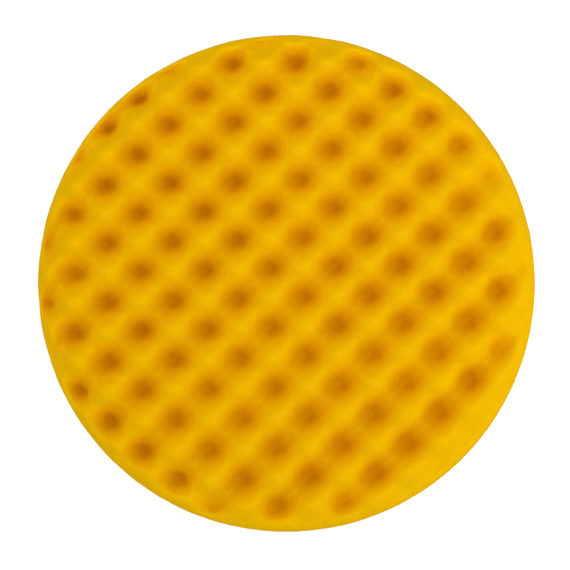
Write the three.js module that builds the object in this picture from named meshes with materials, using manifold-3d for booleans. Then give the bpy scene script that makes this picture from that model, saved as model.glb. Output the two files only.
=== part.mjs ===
// A round foam polishing pad for a machine polisher: a disc of open-cell foam with a convoluted
// ("waffle") working face, bonded to a loop cloth that grips the hooks of a backing plate.
// Millimetres. The pad lies on its back: Z = 0 is the plane of the loop tips, +Z is the way the
// working face looks, and the axis of the disc is the Z axis.

import * as THREE from "three";
import { mergeVertices } from "three/addons/utils/BufferGeometryUtils.js";
import Module from "manifold-3d";

// Overall sizes
const PAD_DIAMETER = 150;
const PAD_THICKNESS = 30; // from the loop tips to the peaks of the waffle

// The layers of the back, from the loop tips up
const LOOP_HEIGHT = 1.5; // loops that stand on the ground cloth
const CLOTH_THICKNESS = 0.5; // knitted ground cloth
const FILM_THICKNESS = 0.3; // hot-melt film
const BACKING_SETBACK = 0.5; // the foam springs out this far past the layers after die-cutting

// The rounded front edge of the foam, a quarter of an ellipse in section
const SHOULDER_WIDTH = 11; // measured across the face
const SHOULDER_HEIGHT = 12; // measured down the side

// The waffle: dimples in straight rows, each row shifted by half a pitch against the next
const WAFFLE_DEPTH = 13; // from a peak to the bottom of a dimple
const WAFFLE_PITCH = 19.65; // dimple to dimple along a row
const WAFFLE_ROW_SPACING = 8.87; // row to row
const WAFFLE_TURN = 1.8; // degrees that the rows are turned from the X axis
const WAFFLE_SPREAD = 0.018; // share by which the pattern is stretched at the -Y edge
const WAFFLE_SHARPNESS = 1.4; // above 1 the dimples are narrower than the peaks between them
const RISING_WAVE_SHARE = 0.4; // under half, dimples run together more along one diagonal
const FIRST_DIMPLE = new THREE.Vector2(-4.65, 4.94); // the dimple nearest the axis

// How finely the curved surfaces are divided
const ROUND_STEPS = 96; // around each disc
const SHOULDER_STEPS = 6; // along the rounded edge
const STEPS_PER_CELL = 3; // of the waffle, along each of its two directions

const FOAM_YELLOW = 0xf2b705;
const CLOTH_GREY = 0xaeb0b2;
const FILM_AMBER = 0xe6d9b0;

const radius = PAD_DIAMETER / 2;
const backingRadius = radius - BACKING_SETBACK;
const clothBottom = LOOP_HEIGHT;
const filmBottom = clothBottom + CLOTH_THICKNESS;
const foamBottom = filmBottom + FILM_THICKNESS;

const wasm = await Module();
wasm.setup();

// A closed three.js geometry as a solid that can be cut.
function toSolid(geometry) {
  const bare = geometry.clone();
  bare.deleteAttribute("normal");
  bare.deleteAttribute("uv");
  const merged = mergeVertices(bare, 1e-4);
  return new wasm.Manifold(
    new wasm.Mesh({
      numProp: 3,
      vertProperties: new Float32Array(merged.attributes.position.array),
      triVerts: new Uint32Array(merged.index.array),
    }),
  );
}

function toGeometry(solid) {
  const mesh = solid.getMesh();
  const geometry = new THREE.BufferGeometry();
  geometry.setAttribute("position", new THREE.BufferAttribute(mesh.vertProperties, 3));
  geometry.setIndex(new THREE.BufferAttribute(mesh.triVerts, 1));
  geometry.computeVertexNormals();
  return geometry;
}

// A turned solid from its half section: points are (distance from the axis, height).
function turned(section) {
  const points = section.map(([r, z]) => new THREE.Vector2(r, z));
  return new THREE.LatheGeometry(points, ROUND_STEPS).rotateX(Math.PI / 2);
}

function layer(name, outerRadius, bottom, top, material) {
  const section = [
    [0, bottom],
    [outerRadius, bottom],
    [outerRadius, top],
    [0, top],
  ];
  const mesh = new THREE.Mesh(turned(section), material);
  mesh.name = name;
  return mesh;
}

// The disc before its face is shaped: a straight side that rounds over into the face.
function foamBlank() {
  const section = [
    [0, foamBottom],
    [radius, foamBottom],
  ];
  for (let step = 0; step <= SHOULDER_STEPS; step += 1) {
    const angle = (Math.PI / 2) * (step / SHOULDER_STEPS);
    section.push([
      radius - SHOULDER_WIDTH * (1 - Math.cos(angle)),
      PAD_THICKNESS - SHOULDER_HEIGHT * (1 - Math.sin(angle)),
    ]);
  }
  section.push([0, PAD_THICKNESS]);
  return turned(section);
}

// Height of the waffle face, the sum of two waves that cross it on its two diagonals. across and
// along count rows of dimples in the pattern's own two directions: a dimple lies where both are
// whole and their sum is even, a peak where it is odd.
function faceHeight(across, along) {
  const rising = Math.cos(Math.PI * (across + along));
  const falling = Math.cos(Math.PI * (across - along));
  const wave = RISING_WAVE_SHARE * rising + (1 - RISING_WAVE_SHARE) * falling;
  const share = Math.max(0, (1 + wave) / 2); // rounding can take the wave just past -1
  return PAD_THICKNESS - WAFFLE_DEPTH * share ** WAFFLE_SHARPNESS;
}

// Where a point of the pattern lies on the pad.
function placeOnPad(across, along) {
  const stretch = 1 - (WAFFLE_SPREAD * along * WAFFLE_ROW_SPACING) / radius;
  return new THREE.Vector2((across * WAFFLE_PITCH) / 2, along * WAFFLE_ROW_SPACING)
    .multiplyScalar(stretch)
    .rotateAround(new THREE.Vector2(), THREE.MathUtils.degToRad(WAFFLE_TURN))
    .add(FIRST_DIMPLE);
}

// A slab wider than the pad whose top is the waffle face.
function waffleSlab() {
  const spare = 2; // cells past the edge of the pad on each side
  const columns = Math.ceil(radius / (WAFFLE_PITCH / 2)) + spare;
  const rows = Math.ceil(radius / WAFFLE_ROW_SPACING) + spare;
  const slab = new THREE.BoxGeometry(
    2 * columns,
    2 * rows,
    2,
    2 * columns * STEPS_PER_CELL,
    2 * rows * STEPS_PER_CELL,
    1,
  );
  const bottom = foamBottom - 1; // below the blank, so that only the face cuts it
  const points = slab.attributes.position;
  for (let index = 0; index < points.count; index += 1) {
    const across = points.getX(index);
    const along = points.getY(index);
    const place = placeOnPad(across, along);
    const height = points.getZ(index) > 0 ? faceHeight(across, along) : bottom;
    points.setXYZ(index, place.x, place.y, height);
  }
  return slab;
}

function foamBody(material) {
  const shaped = toSolid(foamBlank()).intersect(toSolid(waffleSlab()));
  const mesh = new THREE.Mesh(toGeometry(shaped), material);
  mesh.name = "foam_body";
  return mesh;
}

const foam = new THREE.MeshStandardMaterial({ color: FOAM_YELLOW, roughness: 0.95, metalness: 0 });
const cloth = new THREE.MeshStandardMaterial({ color: CLOTH_GREY, roughness: 0.9, metalness: 0 });
const film = new THREE.MeshStandardMaterial({ color: FILM_AMBER, roughness: 0.5, metalness: 0 });

const pad = new THREE.Group();
pad.name = "polishing_pad";
pad.add(layer("loop_pile", backingRadius, 0, clothBottom, cloth));
pad.add(layer("backing_fabric", backingRadius, clothBottom, filmBottom, cloth));
pad.add(layer("adhesive_film", backingRadius, filmBottom, foamBottom, film));
pad.add(foamBody(foam));

export default pad;
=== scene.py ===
# A round foam polishing pad, 150 mm across, lying on its loop back with the waffle face up.
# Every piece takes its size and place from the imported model. Metres, +Z up.

import math

import bpy
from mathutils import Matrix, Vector


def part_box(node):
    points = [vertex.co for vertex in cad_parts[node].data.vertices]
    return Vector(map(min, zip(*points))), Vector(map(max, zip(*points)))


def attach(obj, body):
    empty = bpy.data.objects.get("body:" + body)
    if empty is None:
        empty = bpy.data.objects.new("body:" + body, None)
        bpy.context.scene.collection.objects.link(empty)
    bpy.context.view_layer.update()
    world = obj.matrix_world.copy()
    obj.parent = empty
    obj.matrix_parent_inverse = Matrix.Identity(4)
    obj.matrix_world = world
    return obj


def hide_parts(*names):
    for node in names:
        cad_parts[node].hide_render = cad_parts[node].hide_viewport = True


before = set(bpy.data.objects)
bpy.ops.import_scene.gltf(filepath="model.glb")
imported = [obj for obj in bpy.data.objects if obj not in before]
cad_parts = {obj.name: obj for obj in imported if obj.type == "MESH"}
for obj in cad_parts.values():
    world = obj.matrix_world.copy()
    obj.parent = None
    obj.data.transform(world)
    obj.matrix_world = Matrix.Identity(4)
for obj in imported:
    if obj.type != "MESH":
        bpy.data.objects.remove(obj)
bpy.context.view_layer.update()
MM = 0.001

# ---------------------------------------------------------------------------------------------
# Foam body: open-cell polyurethane foam. It is pressed between patterned rolls and sliced, which
# leaves a waffle of soft dimples, then die-cut to a disc and ground round along its front edge.
# The hot-melt film behind it holds it to the loop cloth.
# ---------------------------------------------------------------------------------------------


class Value:
    """A number on its way through a node tree, so that a formula on it is written as a formula."""

    def __init__(self, tree, socket):
        self.tree = tree
        self.socket = socket

    def math(self, operation, *others):
        node = self.tree.nodes.new("ShaderNodeMath")
        node.operation = operation
        for place, value in enumerate((self, *others)):
            feed(self.tree, value, node.inputs[place])
        return Value(self.tree, node.outputs[0])

    def __add__(self, other):
        return self.math("ADD", other)

    def __radd__(self, other):
        return self.math("ADD", other)

    def __sub__(self, other):
        return self.math("SUBTRACT", other)

    def __rsub__(self, other):
        return self.math("MULTIPLY", -1.0).math("ADD", other)

    def __mul__(self, other):
        return self.math("MULTIPLY", other)

    def __rmul__(self, other):
        return self.math("MULTIPLY", other)

    def __truediv__(self, other):
        return self.math("DIVIDE", other)

    def __pow__(self, other):
        return self.math("POWER", other)

    def sin(self):
        return self.math("SINE")

    def cos(self):
        return self.math("COSINE")

    def magnitude(self):
        return self.math("ABSOLUTE")

    def sign(self):
        return self.math("SIGN")

    def above(self, other):
        """1 where this is above the other, else 0."""
        return self.math("GREATER_THAN", other)

    def within(self, low, high):
        return self.math("MAXIMUM", low).math("MINIMUM", high)


def feed(tree, value, socket):
    """Sets a socket to a plain value, or joins it to what a node puts out."""
    if isinstance(value, Value):
        tree.links.new(value.socket, socket)
    elif isinstance(value, bpy.types.NodeSocket):
        tree.links.new(value, socket)
    else:
        socket.default_value = value


def add_node(tree, kind, inputs=None, **settings):
    """A node with its settings made and its inputs fed, by their names or places."""
    node = tree.nodes.new(kind)
    for name, value in settings.items():
        setattr(node, name, value)
    for name, value in (inputs or {}).items():
        feed(tree, value, node.inputs[name])
    return node


def parts_of(tree, vector):
    """The X, Y and Z of a vector."""
    node = add_node(tree, "ShaderNodeSeparateXYZ", {0: vector})
    return [Value(tree, output) for output in node.outputs]


def vector_of(tree, x, y, z):
    return add_node(tree, "ShaderNodeCombineXYZ", {0: x, 1: y, 2: z}).outputs[0]


def new_tree(name, kind, inputs, outputs):
    """A node tree with named inputs, which start at these values, and named outputs."""
    tree = bpy.data.node_groups.new(name, kind)
    for label, first in inputs.items():
        socket_type = "NodeSocketInt" if isinstance(first, int) else "NodeSocketFloat"
        socket = tree.interface.new_socket(label, in_out="INPUT", socket_type=socket_type)
        socket.default_value = first
    for label, socket_type in outputs.items():
        tree.interface.new_socket(label, in_out="OUTPUT", socket_type=socket_type)
    entry = tree.nodes.new("NodeGroupInput")
    return tree, {label: Value(tree, entry.outputs[label]) for label in inputs}


def hand_out(tree, results):
    """Joins the results to the tree's outputs of the same names."""
    add_node(tree, "NodeGroupOutput", results)


def grown(name, tree, sizes):
    """The plain mesh object that a geometry tree makes with these sizes."""
    piece = bpy.data.objects.new(name, bpy.data.meshes.new(name))
    bpy.context.scene.collection.objects.link(piece)
    modifier = piece.modifiers.new(name, "NODES")
    modifier.node_group = tree
    for item in tree.interface.items_tree:
        if item.in_out == "INPUT":
            modifier[item.identifier] = sizes[item.name]
    graph = bpy.context.evaluated_depsgraph_get()
    mesh = bpy.data.meshes.new_from_object(piece.evaluated_get(graph), depsgraph=graph)
    mesh.name = name
    piece.modifiers.remove(modifier)
    piece.data = mesh
    return piece


def new_round_grid():
    """A square grid wrapped on a disc: its squares become rings, so the cells stay even."""
    outputs = {
        "Grid": "NodeSocketGeometry",
        "Ring": "NodeSocketFloat",
        "Way X": "NodeSocketFloat",
        "Way Y": "NodeSocketFloat",
    }
    tree, entry = new_tree("Round grid", "GeometryNodeTree", {"Rings": 10}, outputs)
    across = entry["Rings"] * 2.0
    count = across + 1.0
    sides = {"Size X": across, "Size Y": across, "Vertices X": count, "Vertices Y": count}
    grid = add_node(tree, "GeometryNodeMeshGrid", sides)
    place = tree.nodes.new("GeometryNodeInputPosition")
    column, row, _ = parts_of(tree, place.outputs[0])
    beside = column.magnitude().above(row.magnitude())
    ahead = 1.0 - beside
    turn = beside * (row / column) * (math.pi / 4)
    turn = turn + ahead * (math.pi / 2 - (column / row) * (math.pi / 4))
    steps = beside * column + ahead * row
    results = {
        "Grid": grid.outputs["Mesh"],
        "Ring": steps.magnitude(),
        "Way X": turn.cos() * steps.sign(),
        "Way Y": turn.sin() * steps.sign(),
    }
    hand_out(tree, results)
    return tree


def noise(tree, place, wavelength, seed):
    """Smooth noise of about this wavelength: one value and three, each from 0 to 1."""
    inputs = {"Vector": place, "W": seed, "Scale": 1 / wavelength, "Detail": 2.0}
    node = add_node(tree, "ShaderNodeTexNoise", inputs, noise_dimensions="4D")
    return Value(tree, node.outputs[0]), parts_of(tree, node.outputs[1])


foam_low, foam_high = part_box("foam_body")
foam_sizes = {
    "Radius": foam_high.x,
    "Back": foam_low.z,
    "Peak": foam_high.z,
    "Shoulder width": 11 * MM,
    "Shoulder height": 12 * MM,
    "Dimple depth": 13 * MM,
    "Pitch": 19.65 * MM,
    "Row spacing": 8.87 * MM,
    "Row turn": math.radians(1.8),
    "Spread": 0.018,
    "Sharpness": 1.3,
    "Rising wave share": 0.4,
    "Share lean": 0.05,
    "First dimple X": -4.65 * MM,
    "First dimple Y": 4.94 * MM,
    "Drawn in": 2 * MM,
    "Fade start": 66 * MM,
    "Fade end": 77 * MM,
    "Fade lopside": 4 * MM,
    "Fade heading": math.radians(150),
    "Dimple drift": 1.2 * MM,
    "Depth drift": 0.25,
    "Waist": 0.5 * MM,
    "Grain": 0.14 * MM,
    "Face rings": 132,
    "Side rings": 22,
    "Seed": 4,
}
DRIFT_WAVELENGTH = 30 * MM
GRAIN_WAVELENGTH = 2.4 * MM
SHOULDER_ARC = 1.65  # a quarter ellipse's length over its width, when it is nearly a circle
SEAM = 0.01 * MM  # points of a wrapped grid that are closer than this are one
KNIFE_EDGE = math.radians(60)  # sharper edges than this stay crisp


def rim_fade(entry, x, y):
    """1 over most of the face, falling towards 0 at the ground edge, sooner on one side."""
    away = (x * x + y * y).math("SQRT")
    ahead = x * entry["Fade heading"].cos() + y * entry["Fade heading"].sin()
    start = entry["Fade start"] + ahead / entry["Radius"] * entry["Fade lopside"]
    past = ((away - start) / (entry["Fade end"] - start)).within(0.0, 1.0)
    return 1.0 - past * past * (3.0 - past * 2.0)


def drawn_in(entry, x, y):
    """Where the pattern is read, over where it lies: further out, as the rounding draws it in."""
    away = (x * x + y * y).math("SQRT")
    flat = entry["Radius"] - entry["Shoulder width"]
    past = ((away - flat) / entry["Shoulder width"]).within(0.0, 1.0)
    return 1.0 + past * past * entry["Drawn in"] / away.math("MAXIMUM", flat)


def waffle_depth(tree, entry, x, y):
    """How deep the waffle dips at a place on the face, from two waves on its two diagonals."""
    fade = rim_fade(entry, x, y)
    falling_way = (x - y) / entry["Radius"] * math.sqrt(0.5)
    rising_share = entry["Rising wave share"] - falling_way * entry["Share lean"]
    grow = drawn_in(entry, x, y)
    x, y = x * grow, y * grow
    _, drift = noise(tree, vector_of(tree, x, y, 0.0), DRIFT_WAVELENGTH, entry["Seed"])
    x = x - entry["First dimple X"] + (drift[0] - 0.5) * entry["Dimple drift"]
    y = y - entry["First dimple Y"] + (drift[1] - 0.5) * entry["Dimple drift"]
    level, upright = entry["Row turn"].cos(), entry["Row turn"].sin()
    right = x * level + y * upright
    up = y * level - x * upright
    stretch = 1.0 - entry["Spread"] * up / entry["Radius"]
    stretch = 1.0 - entry["Spread"] * (up / stretch) / entry["Radius"]
    across = right / stretch / (entry["Pitch"] * 0.5)
    along = up / stretch / entry["Row spacing"]
    rising = ((across + along) * math.pi).cos()
    falling = ((across - along) * math.pi).cos()
    wave = falling + (rising - falling) * rising_share
    share = ((wave + 1.0) * 0.5).within(0.0, 1.0)
    depth = entry["Dimple depth"] * (1.0 + (drift[2] - 0.5) * entry["Depth drift"]) * fade
    return depth * share ** entry["Sharpness"]


def finish_piece(tree, geometry, material, output):
    """Smooth shading with crisp edges, real geometry and one material, on the named output."""
    smooth = add_node(tree, "GeometryNodeSetShadeSmooth", {"Geometry": geometry})
    angle = Value(tree, tree.nodes.new("GeometryNodeInputMeshEdgeAngle").outputs[0])
    inputs = {"Geometry": smooth.outputs[0], "Selection": angle.above(KNIFE_EDGE)}
    inputs["Shade Smooth"] = False
    crisp = add_node(tree, "GeometryNodeSetShadeSmooth", inputs, domain="EDGE")
    real = add_node(tree, "GeometryNodeRealizeInstances", {"Geometry": crisp.outputs[0]})
    inputs = {"Geometry": real.outputs[0], "Material": material}
    coated = add_node(tree, "GeometryNodeSetMaterial", inputs)
    hand_out(tree, {output: coated.outputs[0]})


def new_foam_tree(round_grid, material):
    outputs = {"Foam": "NodeSocketGeometry"}
    tree, entry = new_tree("Waffle foam", "GeometryNodeTree", foam_sizes, outputs)
    rings = entry["Face rings"] + entry["Side rings"] + 1.0
    grid = add_node(tree, "GeometryNodeGroup", node_tree=round_grid)
    feed(tree, rings, grid.inputs["Rings"])
    ring, way_x, way_y = (Value(tree, grid.outputs[n]) for n in ("Ring", "Way X", "Way Y"))

    # Along the face: flat to the shoulder, then round the shoulder's quarter ellipse
    flat = entry["Radius"] - entry["Shoulder width"]
    arc = entry["Shoulder width"] * SHOULDER_ARC
    run = ring / entry["Face rings"] * (flat + arc)
    bend = ((run - flat) / arc).within(0.0, 1.0) * (math.pi / 2)
    reach = run.math("MINIMUM", flat) + bend.sin() * entry["Shoulder width"]
    shoulder = entry["Peak"] - entry["Shoulder height"] * (1.0 - bend.cos())

    # Down the side, then the last ring closes the back on the axis
    down = ((ring - entry["Face rings"]) / entry["Side rings"]).within(0.0, 1.0)
    waist = entry["Waist"] * (down * math.pi).sin()
    closed = ring.above(rings - 0.5)
    reach = (reach - waist) * (1.0 - closed)
    x, y = reach * way_x, reach * way_y
    face = shoulder - waffle_depth(tree, entry, x, y)
    z = face + (entry["Back"] - face) * down
    inputs = {"Geometry": grid.outputs["Grid"], "Position": vector_of(tree, x, y, z)}
    shaped = add_node(tree, "GeometryNodeSetPosition", inputs)
    inputs = {"Geometry": shaped.outputs[0], "Distance": SEAM}
    sealed = add_node(tree, "GeometryNodeMergeByDistance", inputs)

    # The cut surface is a little uneven, and the back stays flat on the film
    place = tree.nodes.new("GeometryNodeInputPosition").outputs[0]
    lift = parts_of(tree, place)[2] - entry["Back"]
    rough, _ = noise(tree, place, GRAIN_WAVELENGTH, entry["Seed"])
    push = (rough - 0.5) * 2.0 * entry["Grain"] * (lift / MM).within(0.0, 1.0)
    normal = tree.nodes.new("GeometryNodeInputNormal").outputs[0]
    offset = add_node(tree, "ShaderNodeVectorMath", {0: normal, "Scale": push}, operation="SCALE")
    inputs = {"Geometry": sealed.outputs[0], "Offset": offset.outputs[0]}
    uneven = add_node(tree, "GeometryNodeSetPosition", inputs)
    finish_piece(tree, uneven.outputs[0], material, "Foam")
    return tree


def new_mottle():
    """Uneven tone over a surface: 1 on average, up to Amount above or below."""
    inputs = {"Patch size": 2 * MM, "Amount": 0.1, "Seed": 0.0}
    outputs = {"Tone": "NodeSocketFloat"}
    tree, entry = new_tree("Mottle", "ShaderNodeTree", inputs, outputs)
    place = tree.nodes.new("ShaderNodeTexCoord").outputs["Object"]
    inputs = {"Vector": place, "W": entry["Seed"], "Detail": 3.0}
    inputs["Scale"] = entry["Patch size"] ** -1.0
    node = add_node(tree, "ShaderNodeTexNoise", inputs, noise_dimensions="4D")
    tone = 1.0 + (Value(tree, node.outputs[0]) - 0.5) * 2.0 * entry["Amount"]
    hand_out(tree, {"Tone": tone})
    return tree


mottle_tree = new_mottle()


def mottle(tree, patch_size, amount, seed):
    inputs = {"Patch size": patch_size, "Amount": amount, "Seed": seed}
    node = add_node(tree, "ShaderNodeGroup", node_tree=mottle_tree)
    for name, value in inputs.items():
        feed(tree, value, node.inputs[name])
    return Value(tree, node.outputs["Tone"])


def new_material(name):
    material = bpy.data.materials.new(name)
    material.use_nodes = True
    return material, material.node_tree, material.node_tree.nodes["Principled BSDF"]


def toned(tree, colour, tone):
    """A colour made lighter and darker by a tone."""
    inputs = {0: colour, "Scale": tone}
    return add_node(tree, "ShaderNodeVectorMath", inputs, operation="SCALE").outputs[0]


FOAM_COLOUR = (0.85, 0.471, 0.0004)
STEADY_RED = 0.4  # the share of the red that darker places keep, the painted shade in pores and cell hollows above all, which turns them orange
CELL_SIZE = 0.55 * MM
PORE_SIZE = 1.3 * MM
PORE_NARROWNESS = 3.2
SIDE_START = 0.94  # the die-cut side shows more cells, with deeper painted shade in them: where it begins and is full, over the radius
SIDE_FULL = 0.99


def new_foam_material():
    material, tree, surface = new_material("Yellow open-cell foam")
    place = tree.nodes.new("ShaderNodeTexCoord").outputs["Object"]
    cells = {"Vector": place, "Scale": 1 / CELL_SIZE, "Randomness": 1.0}
    fine = Value(tree, add_node(tree, "ShaderNodeTexVoronoi", cells).outputs["Distance"])
    cells["Scale"] = 1 / PORE_SIZE
    coarse = Value(tree, add_node(tree, "ShaderNodeTexVoronoi", cells).outputs["Distance"])
    pore = (1.0 - coarse * PORE_NARROWNESS).within(0.0, 1.0)
    x, y, _ = parts_of(tree, place)
    away = (x * x + y * y).math("SQRT") / foam_high.x
    side = ((away - SIDE_START) / (SIDE_FULL - SIDE_START)).within(0.0, 1.0)
    tone = mottle(tree, 1.1 * MM, 0.07, 1.0) * mottle(tree, 14 * MM, 0.03, 2.0)
    # Painted shade: pores and the low places between the fine cells are darker, the more so on the
    # die-cut side; the two mottles above are random tone.
    tone = tone * (1.0 - pore * (0.08 + side * 0.14)) * (0.97 + fine * (0.06 + side * 0.06))
    red, green, blue = FOAM_COLOUR
    # The painted shade keeps part of its red, so it turns orange like light bounced round inside a
    # hollow.
    steady_tone_and_shade = tone * (1.0 - STEADY_RED) + STEADY_RED
    golden = vector_of(tree, steady_tone_and_shade * red, tone * green, blue)
    feed(tree, golden, surface.inputs["Base Color"])
    feed(tree, mottle(tree, 0.8 * MM, 0.05, 3.0) * 0.93, surface.inputs["Roughness"])
    height = (fine * 0.55 - pore * 0.5) * (1.0 + side * 0.8)
    inputs = {"Height": height, "Distance": 0.12 * MM, "Strength": 0.5}
    bump = add_node(tree, "ShaderNodeBump", inputs)
    feed(tree, bump.outputs["Normal"], surface.inputs["Normal"])
    surface.inputs["Specular IOR Level"].default_value = 0.01
    return material


round_grid_tree = new_round_grid()
foam = grown("waffle_foam", new_foam_tree(round_grid_tree, new_foam_material()), foam_sizes)
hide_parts("foam_body")
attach(foam, "root")

# ---------------------------------------------------------------------------------------------
# Adhesive film: a hot-melt web laid between foam and cloth and pressed hot, so that it fills the
# joint and creeps out of it in a fine uneven bead around the edge.
# ---------------------------------------------------------------------------------------------

film_low, film_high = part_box("adhesive_film")
FILM_STEPS = 720
FILM_TUCK = 0.1 * MM  # how far the film's faces end short of the cloth's edge
BEAD_REACH = 0.28 * MM  # how far the bead creeps out at most
BEAD_SPOTS = (5, 13, 31, 67)  # waves in the bead around the edge
FILM_AMBER = (0.75, 0.64, 0.36)


def bead(turn):
    """How far the film reaches past its own edge here, from 0 to the bead's full reach."""
    sway = sum(math.sin(spots * turn + spots * spots) for spots in BEAD_SPOTS)
    return BEAD_REACH * (0.5 + 0.5 * sway / len(BEAD_SPOTS))


def new_film_mesh():
    middle = (film_low.z + film_high.z) / 2
    points = []
    for step in range(FILM_STEPS):
        turn = 2 * math.pi * step / FILM_STEPS
        for z, share in ((film_low.z, 0.0), (middle, 1.0), (film_high.z, 0.0)):
            reach = film_high.x - FILM_TUCK + bead(turn) * share
            points.append((reach * math.cos(turn), reach * math.sin(turn), z))
    faces = []
    below, above = len(points), len(points) + 1
    points += [(0, 0, film_low.z), (0, 0, film_high.z)]
    for step in range(FILM_STEPS):
        here, beyond = 3 * step, 3 * ((step + 1) % FILM_STEPS)
        faces.append((here, beyond, beyond + 1, here + 1))
        faces.append((here + 1, beyond + 1, beyond + 2, here + 2))
        faces.append((here, below, beyond))
        faces.append((here + 2, beyond + 2, above))
    mesh = bpy.data.meshes.new("bonding_film")
    mesh.from_pydata(points, [], faces)
    mesh.shade_smooth()
    return mesh


def new_film_material():
    material, tree, surface = new_material("Pale amber hot-melt")
    tone = mottle(tree, 1.5 * MM, 0.12, 4.0) * mottle(tree, 9 * MM, 0.08, 5.0)
    feed(tree, toned(tree, FILM_AMBER, tone), surface.inputs["Base Color"])
    feed(tree, mottle(tree, 2.5 * MM, 0.25, 6.0) * 0.42, surface.inputs["Roughness"])
    inputs = {"Height": mottle(tree, 0.7 * MM, 1.0, 7.0), "Distance": 0.05 * MM}
    bump = add_node(tree, "ShaderNodeBump", inputs)
    feed(tree, bump.outputs["Normal"], surface.inputs["Normal"])
    return material


film = bpy.data.objects.new("bonding_film", new_film_mesh())
bpy.context.scene.collection.objects.link(film)
film.data.materials.append(new_film_material())
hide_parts("adhesive_film")
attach(film, "root")

# ---------------------------------------------------------------------------------------------
# Ground cloth: a fine grey nylon warp knit that the loops stand on, bonded flat to the film
# and cut with the foam. Its ribs run one way and its edge is a clean die cut.
# ---------------------------------------------------------------------------------------------

cloth_low, cloth_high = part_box("backing_fabric")
cloth_sizes = {
    "Radius": cloth_high.x,
    "Top": cloth_high.z,
    "Bottom": cloth_low.z,
    "Rib pitch": 1.8 * MM,
    "Rib height": 0.07 * MM,
    "Rings": 110,
}
WALE_PITCH = 0.9 * MM
COURSE_PITCH = 0.6 * MM
CLOTH_GREY = (0.3, 0.31, 0.32)


def new_cloth_tree(round_grid, material):
    outputs = {"Cloth": "NodeSocketGeometry"}
    tree, entry = new_tree("Ground cloth", "GeometryNodeTree", cloth_sizes, outputs)
    rings = entry["Rings"] + 2.0
    grid = add_node(tree, "GeometryNodeGroup", node_tree=round_grid)
    feed(tree, rings, grid.inputs["Rings"])
    ring, way_x, way_y = (Value(tree, grid.outputs[n]) for n in ("Ring", "Way X", "Way Y"))
    past_edge = ring.above(entry["Rings"] + 0.5)
    closed = ring.above(rings - 0.5)
    reach = (ring / entry["Rings"]).within(0.0, 1.0) * entry["Radius"] * (1.0 - closed)
    x, y = reach * way_x, reach * way_y
    rib = 0.5 + 0.5 * (x * (2 * math.pi) / entry["Rib pitch"]).cos()
    underside = entry["Bottom"] + rib * entry["Rib height"]
    z = underside + (entry["Top"] - underside) * past_edge
    inputs = {"Geometry": grid.outputs["Grid"], "Position": vector_of(tree, x, y, z)}
    shaped = add_node(tree, "GeometryNodeSetPosition", inputs)
    inputs = {"Geometry": shaped.outputs[0], "Distance": SEAM}
    sealed = add_node(tree, "GeometryNodeMergeByDistance", inputs)
    turned = add_node(tree, "GeometryNodeFlipFaces", {0: sealed.outputs[0]})
    finish_piece(tree, turned.outputs[0], material, "Cloth")
    return tree


def new_cloth_material():
    material, tree, surface = new_material("Knitted nylon ground")
    x, y, _ = parts_of(tree, tree.nodes.new("ShaderNodeTexCoord").outputs["Object"])
    wale = (x * (2 * math.pi / WALE_PITCH)).cos()
    course = (y * (2 * math.pi / COURSE_PITCH) + wale).cos()
    yarn = 0.5 + 0.25 * wale + 0.25 * course
    tone = mottle(tree, 1.2 * MM, 0.06, 8.0) * mottle(tree, 20 * MM, 0.04, 9.0)
    # Painted shade: the knit is darker in the dips between its yarns, where its bump is low.
    tone = tone * (0.86 + yarn * 0.2)
    feed(tree, toned(tree, CLOTH_GREY, tone), surface.inputs["Base Color"])
    feed(tree, mottle(tree, 1.0 * MM, 0.06, 10.0) * 0.88, surface.inputs["Roughness"])
    inputs = {"Height": yarn, "Distance": 0.1 * MM, "Strength": 0.8}
    bump = add_node(tree, "ShaderNodeBump", inputs)
    feed(tree, bump.outputs["Normal"], surface.inputs["Normal"])
    surface.inputs["Sheen Weight"].default_value = 0.15
    return material


cloth = grown("ground_cloth", new_cloth_tree(round_grid_tree, new_cloth_material()), cloth_sizes)
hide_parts("backing_fabric")
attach(cloth, "root")

# ---------------------------------------------------------------------------------------------
# Loop pile: soft nylon loops knitted through the ground cloth in staggered rows and brushed, so
# that they lean and twist. The hooks of a backing plate catch in them.
# ---------------------------------------------------------------------------------------------

pile_low, pile_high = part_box("loop_pile")
pile_sizes = {
    "Radius": pile_high.x,
    "Root": pile_high.z,
    "Height": pile_high.z - pile_low.z,
    "Loop pitch": 1.6 * MM,
    "Row pitch": 1.36 * MM,
    "Loop width": 1.1 * MM,
    "Yarn radius": 0.13 * MM,
    "Lean": math.radians(22),
    "Twist": math.radians(55),
    "Scatter": 0.5 * MM,
    "Seed": 11,
}
LOOP_POINTS = 5
YARN_SIDES = 3
ROOT_WIDTH = 0.65  # a loop's half width at its roots, and what it swells by, over the plain half
SWELL = 0.55
SMALLEST_LOOP = 0.8  # against the largest
STRAND_SIZE = 0.12 * MM
LOOP_GREY = (0.42, 0.43, 0.44)


def new_loop(tree, entry):
    """One loop hanging from the cloth, swelling below its two roots as knitted loops do."""
    line = add_node(tree, "GeometryNodeCurvePrimitiveLine")
    inputs = {"Curve": line.outputs[0], "Count": LOOP_POINTS}
    arch = add_node(tree, "GeometryNodeResampleCurve", inputs)
    share = Value(tree, tree.nodes.new("GeometryNodeSplineParameter").outputs["Factor"])
    turn = share * math.pi
    wide = entry["Loop width"] * 0.5 * (ROOT_WIDTH + SWELL * turn.sin())
    reach = entry["Height"] - entry["Yarn radius"] * 2.0
    place = vector_of(tree, turn.cos() * wide, 0.0, turn.sin() * reach * -1.0)
    inputs = {"Geometry": arch.outputs[0], "Position": place}
    bent = add_node(tree, "GeometryNodeSetPosition", inputs)
    inputs = {"Resolution": YARN_SIDES, "Radius": entry["Yarn radius"]}
    section = add_node(tree, "GeometryNodeCurvePrimitiveCircle", inputs)
    inputs = {"Curve": bent.outputs[0], "Profile Curve": section.outputs[0]}
    return add_node(tree, "GeometryNodeCurveToMesh", inputs).outputs[0]


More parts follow.
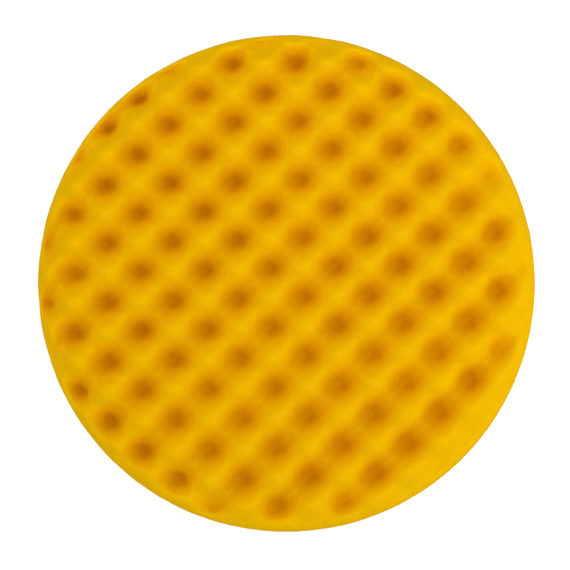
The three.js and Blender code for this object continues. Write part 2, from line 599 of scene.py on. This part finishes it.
def scattered(tree, low, high, seed):
    """A different value for each loop, between these limits."""
    node = add_node(tree, "FunctionNodeRandomValue", data_type="FLOAT")
    sockets = [s for s in node.inputs if s.enabled]
    for socket, value in zip(sockets, (low, high)):
        feed(tree, value, socket)
    feed(tree, seed, node.inputs["Seed"])
    output = next(s for s in node.outputs if s.enabled)
    return Value(tree, output)


def new_pile_tree(material):
    outputs = {"Pile": "NodeSocketGeometry"}
    tree, entry = new_tree("Loop pile", "GeometryNodeTree", pile_sizes, outputs)
    width = entry["Radius"] * 2.0
    inputs = {"Size X": width, "Size Y": width}
    inputs["Vertices X"] = width / entry["Loop pitch"]
    inputs["Vertices Y"] = width / entry["Row pitch"]
    grid = add_node(tree, "GeometryNodeMeshGrid", inputs)
    x, y, _ = parts_of(tree, tree.nodes.new("GeometryNodeInputPosition").outputs[0])
    row = ((y + entry["Radius"]) / entry["Row pitch"]).math("ROUND")
    stagger = row.math("MODULO", 2.0) * entry["Loop pitch"] * 0.5
    seed = entry["Seed"]
    half = entry["Scatter"] * 0.5
    x = x + stagger + scattered(tree, half * -1.0, half, seed)
    y = y + scattered(tree, half * -1.0, half, seed + 1.0)
    inputs = {"Geometry": grid.outputs["Mesh"], "Position": vector_of(tree, x, y, entry["Root"])}
    placed = add_node(tree, "GeometryNodeSetPosition", inputs)
    x, y, _ = parts_of(tree, tree.nodes.new("GeometryNodeInputPosition").outputs[0])
    away = (x * x + y * y).math("SQRT")
    outside = away.above(entry["Radius"] - entry["Loop width"] * 0.5)
    inputs = {"Geometry": placed.outputs[0], "Selection": outside}
    kept = add_node(tree, "GeometryNodeDeleteGeometry", inputs)

    lean = entry["Lean"]
    twist = entry["Twist"]
    tilt = scattered(tree, lean * 0.2, lean, seed + 2.0)
    side = scattered(tree, lean * -0.5, lean * 0.5, seed + 3.0)
    turn = scattered(tree, twist * -1.0, twist, seed + 4.0)
    size = scattered(tree, SMALLEST_LOOP, 1.0, seed + 5.0)
    inputs = {
        "Points": kept.outputs[0],
        "Instance": new_loop(tree, entry),
        "Rotation": vector_of(tree, tilt, side, turn),
        "Scale": vector_of(tree, size, size, size),
    }
    loops = add_node(tree, "GeometryNodeInstanceOnPoints", inputs)
    finish_piece(tree, loops.outputs[0], material, "Pile")
    return tree


def new_pile_material():
    material, tree, surface = new_material("Brushed nylon loops")
    place = tree.nodes.new("ShaderNodeTexCoord").outputs["Object"]
    tone = mottle(tree, 0.9 * MM, 0.12, 12.0) * mottle(tree, 16 * MM, 0.05, 13.0)
    feed(tree, toned(tree, LOOP_GREY, tone), surface.inputs["Base Color"])
    feed(tree, mottle(tree, 0.6 * MM, 0.12, 14.0) * 0.7, surface.inputs["Roughness"])
    strands = {"Vector": place, "Scale": 1 / STRAND_SIZE, "Detail": 1.0}
    strand = add_node(tree, "ShaderNodeTexNoise", strands)
    inputs = {"Height": strand.outputs[0], "Distance": 0.03 * MM, "Strength": 0.6}
    bump = add_node(tree, "ShaderNodeBump", inputs)
    feed(tree, bump.outputs["Normal"], surface.inputs["Normal"])
    surface.inputs["Sheen Weight"].default_value = 0.2
    return material


pile = grown("nylon_loops", new_pile_tree(new_pile_material()), pile_sizes)
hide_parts("loop_pile")
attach(pile, "root")

# ---------------------------------------------------------------------------------------------
# Studio: a white sweep under a white sky. Three soft boxes stand well away and model the waffle,
# smaller ones close to the pad open up its shaded sides, and one lights the back from below. The
# camera looks straight down the axis.
# ---------------------------------------------------------------------------------------------

FLOOR_REACH = 4.0
FLOOR_GREY = 0.5
FLOOR_GLOW = 0.7
SKY_LIGHT = 0.48  # what the sky gives the pad, where the camera sees it white
FAR = 1.2  # from the pad to a soft box
NEAR = 0.4
CAMERA_HEIGHT = 1.2
PAD_SHARE = 0.8715  # how much of the frame's width the pad takes
RIM_HEIGHT = 18 * MM  # where the outline of the pad is widest
PAD_RIGHT = 0.00246  # the pad's centre, right of and above the frame's, over the frame's width
PAD_UP = 0.00281


def new_floor():
    """A wide white sweep that glows to the camera alone, but not under the pad, which leaves a
    painted darker patch there where the pad's shade falls.
    It is clear from below and lets light up under the pad, so that the pad's back can be seen."""
    reach = FLOOR_REACH
    corners = [(-reach, -reach, 0), (reach, -reach, 0), (reach, reach, 0), (-reach, reach, 0)]
    mesh = bpy.data.meshes.new("studio_floor")
    mesh.from_pydata(corners, [], [(0, 1, 2, 3)])
    material, tree, surface = new_material("White sweep")
    surface.inputs["Base Color"].default_value = (FLOOR_GREY, FLOOR_GREY, FLOOR_GREY, 1)
    surface.inputs["Roughness"].default_value = 1.0
    surface.inputs["Specular IOR Level"].default_value = 0.0
    surface.inputs["Emission Color"].default_value = (1, 1, 1, 1)
    x, y, _ = parts_of(tree, tree.nodes.new("ShaderNodeTexCoord").outputs["Object"])
    beyond_pad = (x * x + y * y).math("SQRT").above(foam_high.x)
    seen = Value(tree, tree.nodes.new("ShaderNodeLightPath").outputs["Is Camera Ray"])
    # The glow stops at the pad's edge, so the floor under the pad is a painted darker patch where
    # its shade falls.
    feed(tree, seen * beyond_pad * FLOOR_GLOW, surface.inputs["Emission Strength"])
    below = Value(tree, tree.nodes.new("ShaderNodeNewGeometry").outputs["Backfacing"])
    clear_share = below.math("MAXIMUM", (1.0 - beyond_pad) * (1.0 - seen))
    clear = tree.nodes.new("ShaderNodeBsdfTransparent").outputs[0]
    inputs = {0: clear_share, 1: surface.outputs[0], 2: clear}
    mix = add_node(tree, "ShaderNodeMixShader", inputs)
    tree.links.new(mix.outputs[0], tree.nodes["Material Output"].inputs["Surface"])
    mesh.materials.append(material)
    floor = bpy.data.objects.new("studio_floor", mesh)
    bpy.context.scene.collection.objects.link(floor)
    return floor


def add_soft_box(name, azimuth, elevation, distance, brightness, size):
    """A square soft box aimed at the pad. A white surface that faces it is lit to its brightness
    times the square of its size over its distance."""
    light = bpy.data.lights.new(name, "AREA")
    light.size = size
    light.energy = brightness * (math.pi * size) ** 2
    away = Vector((math.cos(azimuth), math.sin(azimuth), 0)) * math.cos(elevation)
    away.z = math.sin(elevation)
    box = bpy.data.objects.new(name, light)
    box.location = away * distance
    box.rotation_euler = away.to_track_quat("Z", "Y").to_euler()
    box.visible_camera = False
    bpy.context.scene.collection.objects.link(box)


new_floor()
for name, azimuth, elevation, distance, brightness, size in (
    ("box_front_left", 225, 35, FAR, 1.25, 0.5),
    ("box_front_right", 315, 35, FAR, 0.65, 0.5),
    ("box_low_left", 180, 12, FAR, 0.6, 0.4),
    ("box_high_right", 0, 60, NEAR, 0.55, 0.25),
    ("box_back", 90, 35, NEAR, 0.45, 0.25),
    ("box_back_left", 135, 35, NEAR, 0.3, 0.25),
    ("box_low_right", 0, 15, NEAR, 1.0, 0.15),
    ("box_low_front_right", 315, 15, NEAR, 0.5, 0.15),
    ("box_below", 300, -50, FAR, 1.6, 0.5),
):
    add_soft_box(name, math.radians(azimuth), math.radians(elevation), distance, brightness, size)

sky = bpy.data.worlds.new("White sky")
sky.use_nodes = True
bpy.context.scene.world = sky
dome = sky.node_tree.nodes["Background"]
dome.inputs["Color"].default_value = (1, 1, 1, 1)
path = sky.node_tree.nodes.new("ShaderNodeLightPath")
seen = Value(sky.node_tree, path.outputs["Is Camera Ray"])
feed(sky.node_tree, SKY_LIGHT + seen * (1.0 - SKY_LIGHT), dome.inputs["Strength"])
bpy.context.scene.view_settings.view_transform = "Standard"

lens = bpy.data.cameras.new("camera")
lens.sensor_width = 36
lens.lens = lens.sensor_width * (CAMERA_HEIGHT - RIM_HEIGHT) * PAD_SHARE / (2 * foam_high.x)
lens.shift_x = -PAD_RIGHT
lens.shift_y = -PAD_UP
lens.clip_end = 20
camera = bpy.data.objects.new("camera", lens)
camera.location = (0, 0, CAMERA_HEIGHT)
bpy.context.scene.collection.objects.link(camera)
bpy.context.scene.camera = camera
